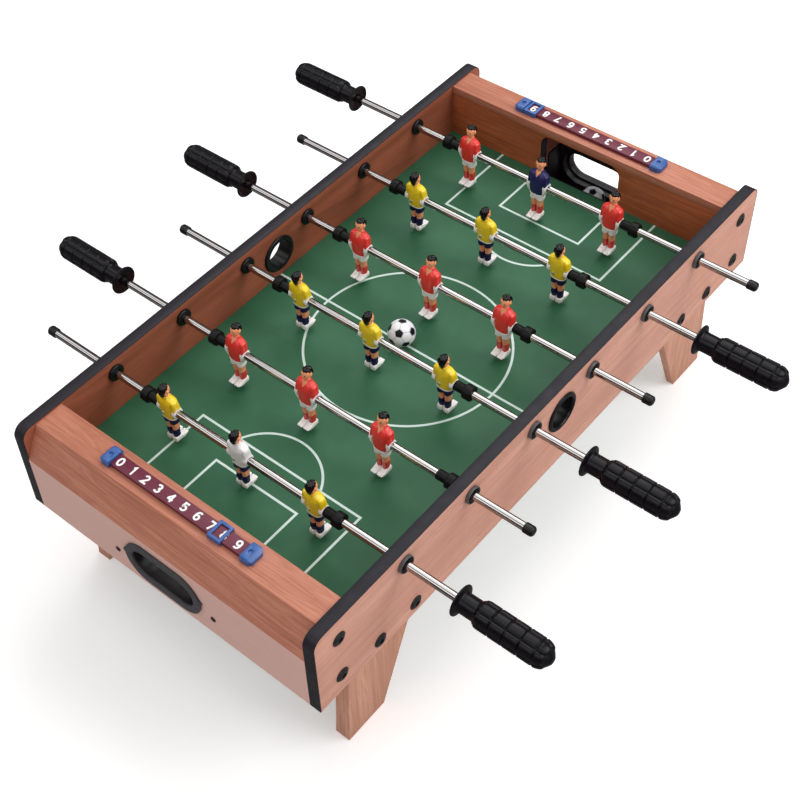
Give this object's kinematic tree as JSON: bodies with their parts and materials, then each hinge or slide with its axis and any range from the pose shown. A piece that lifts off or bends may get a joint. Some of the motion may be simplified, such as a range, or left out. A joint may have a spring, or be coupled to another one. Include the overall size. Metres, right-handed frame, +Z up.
{
  "type": "tabletop foosball game",
  "caption": "Tabletop foosball game with spinning, sliding player rods, goals with ball cups, sliding score counters, tapered legs and loose balls.",
  "frame": {"origin": "on the ground, under the middle of the playing field", "axes": "+X along the table from the near end to the far end, +Y across it along the rods from the front panel to the back panel, +Z up"},
  "size_m": [0.69, 0.672, 0.2462],
  "materials": {
    "panel_laminate": "satin wood-grain laminate",
    "end_laminate": "satin wood-grain laminate",
    "raw_board": "unfinished board",
    "edge_band": "satin",
    "field_green": "matt printed board",
    "black_plastic": "satin",
    "bolt_black": "black oxide",
    "screw_dark": "dark plated",
    "rod_steel": "polished",
    "rubber_black": "matt",
    "bar_maroon": "semi-gloss",
    "counter_blue": "semi-gloss",
    "kit_yellow": "painted",
    "kit_red": "painted",
    "kit_white": "painted",
    "kit_navy": "painted",
    "ball_white": "satin"
  },
  "bodies": {
    "table": {"front_side_panel": "panel_laminate", "back_side_panel": "panel_laminate", "edge_bands": "edge_band", "playing_field": "field_green", "near_goal_wall": "end_laminate", "far_goal_wall": "end_laminate", "near_top_board": "end_laminate", "far_top_board": "end_laminate", "near_end_board": "end_laminate", "far_end_board": "end_laminate", "near_goal_cup": "black_plastic", "far_goal_cup": "black_plastic", "corner_cleats": "raw_board", "near_legs": "panel_laminate", "far_legs": "panel_laminate", "panel_bolts": "bolt_black", "cup_screws": "screw_dark", "rod_bushings": "black_plastic", "bushing_collars": "black_plastic", "ball_entry_rings": "black_plastic", "near_score_bar": "bar_maroon", "far_score_bar": "bar_maroon", "score_brackets": "counter_blue", "loose_bumper": "rubber_black"},
    "rod_slide_1": {"bumpers_1": "rubber_black"},
    "rod_spin_1": {"rod_1": "rod_steel", "handle_1": "black_plastic", "rod_cap_1": "black_plastic", "players_1": "kit_yellow", "near_keeper": "kit_white"},
    "rod_slide_2": {"bumpers_2": "rubber_black"},
    "rod_spin_2": {"rod_2": "rod_steel", "handle_2": "black_plastic", "rod_cap_2": "black_plastic", "players_2": "kit_red"},
    "rod_slide_3": {"bumpers_3": "rubber_black"},
    "rod_spin_3": {"rod_3": "rod_steel", "handle_3": "black_plastic", "rod_cap_3": "black_plastic", "players_3": "kit_yellow"},
    "rod_slide_4": {"bumpers_4": "rubber_black"},
    "rod_spin_4": {"rod_4": "rod_steel", "handle_4": "black_plastic", "rod_cap_4": "black_plastic", "players_4": "kit_red"},
    "rod_slide_5": {"bumpers_5": "rubber_black"},
    "rod_spin_5": {"rod_5": "rod_steel", "handle_5": "black_plastic", "rod_cap_5": "black_plastic", "players_5": "kit_yellow"},
    "rod_slide_6": {"bumpers_6": "rubber_black"},
    "rod_spin_6": {"rod_6": "rod_steel", "handle_6": "black_plastic", "rod_cap_6": "black_plastic", "players_6": "kit_red", "far_keeper": "kit_navy"},
    "near_slider": {"near_score_slider": "counter_blue"},
    "far_slider": {"far_score_slider": "counter_blue"},
    "ball_in_play": {"match_ball": "ball_white"},
    "ball_in_cup": {"spare_ball": "ball_white"}
  },
  "joints": [
    {"name": "rod_1_push_pull", "type": "slide", "parent": "table", "child": "rod_slide_1", "axis": [0, 1, 0], "range_m": [-0.0505, 0.0365]},
    {"name": "rod_1_spin", "type": "hinge", "parent": "rod_slide_1", "child": "rod_spin_1", "pos_m": [-0.2285, 0, 0.2127], "axis": [0, 1, 0], "continuous": true},
    {"name": "rod_2_push_pull", "type": "slide", "parent": "table", "child": "rod_slide_2", "axis": [0, 1, 0], "range_m": [-0.0505, 0.0365]},
    {"name": "rod_2_spin", "type": "hinge", "parent": "rod_slide_2", "child": "rod_spin_2", "pos_m": [-0.1371, 0, 0.2127], "axis": [0, 1, 0], "continuous": true},
    {"name": "rod_3_push_pull", "type": "slide", "parent": "table", "child": "rod_slide_3", "axis": [0, 1, 0], "range_m": [-0.0505, 0.0365]},
    {"name": "rod_3_spin", "type": "hinge", "parent": "rod_slide_3", "child": "rod_spin_3", "pos_m": [-0.0457, 0, 0.2127], "axis": [0, 1, 0], "continuous": true},
    {"name": "rod_4_push_pull", "type": "slide", "parent": "table", "child": "rod_slide_4", "axis": [0, 1, 0], "range_m": [-0.0505, 0.0365]},
    {"name": "rod_4_spin", "type": "hinge", "parent": "rod_slide_4", "child": "rod_spin_4", "pos_m": [0.0457, 0, 0.2127], "axis": [0, 1, 0], "continuous": true},
    {"name": "rod_5_push_pull", "type": "slide", "parent": "table", "child": "rod_slide_5", "axis": [0, 1, 0], "range_m": [-0.0505, 0.0365]},
    {"name": "rod_5_spin", "type": "hinge", "parent": "rod_slide_5", "child": "rod_spin_5", "pos_m": [0.1371, 0, 0.2127], "axis": [0, 1, 0], "continuous": true},
    {"name": "rod_6_push_pull", "type": "slide", "parent": "table", "child": "rod_slide_6", "axis": [0, 1, 0], "range_m": [-0.0505, 0.0365]},
    {"name": "rod_6_spin", "type": "hinge", "parent": "rod_slide_6", "child": "rod_spin_6", "pos_m": [0.2285, 0, 0.2127], "axis": [0, 1, 0], "continuous": true},
    {"name": "near_score_slide", "type": "slide", "parent": "table", "child": "near_slider", "axis": [0, 1, 0], "range_m": [-0.02205, 0.1197]},
    {"name": "far_score_slide", "type": "slide", "parent": "table", "child": "far_slider", "axis": [0, 1, 0], "range_m": [-0.14175, 0]},
    {"name": "match_ball_roll", "type": "slide", "parent": "table", "child": "ball_in_play", "axis": [0, 1, 0], "range_m": [-0.157, 0.143]},
    {"name": "spare_ball_roll", "type": "slide", "parent": "table", "child": "ball_in_cup", "axis": [0, 1, 0], "range_m": [-0.022, 0.036]}
  ]
}
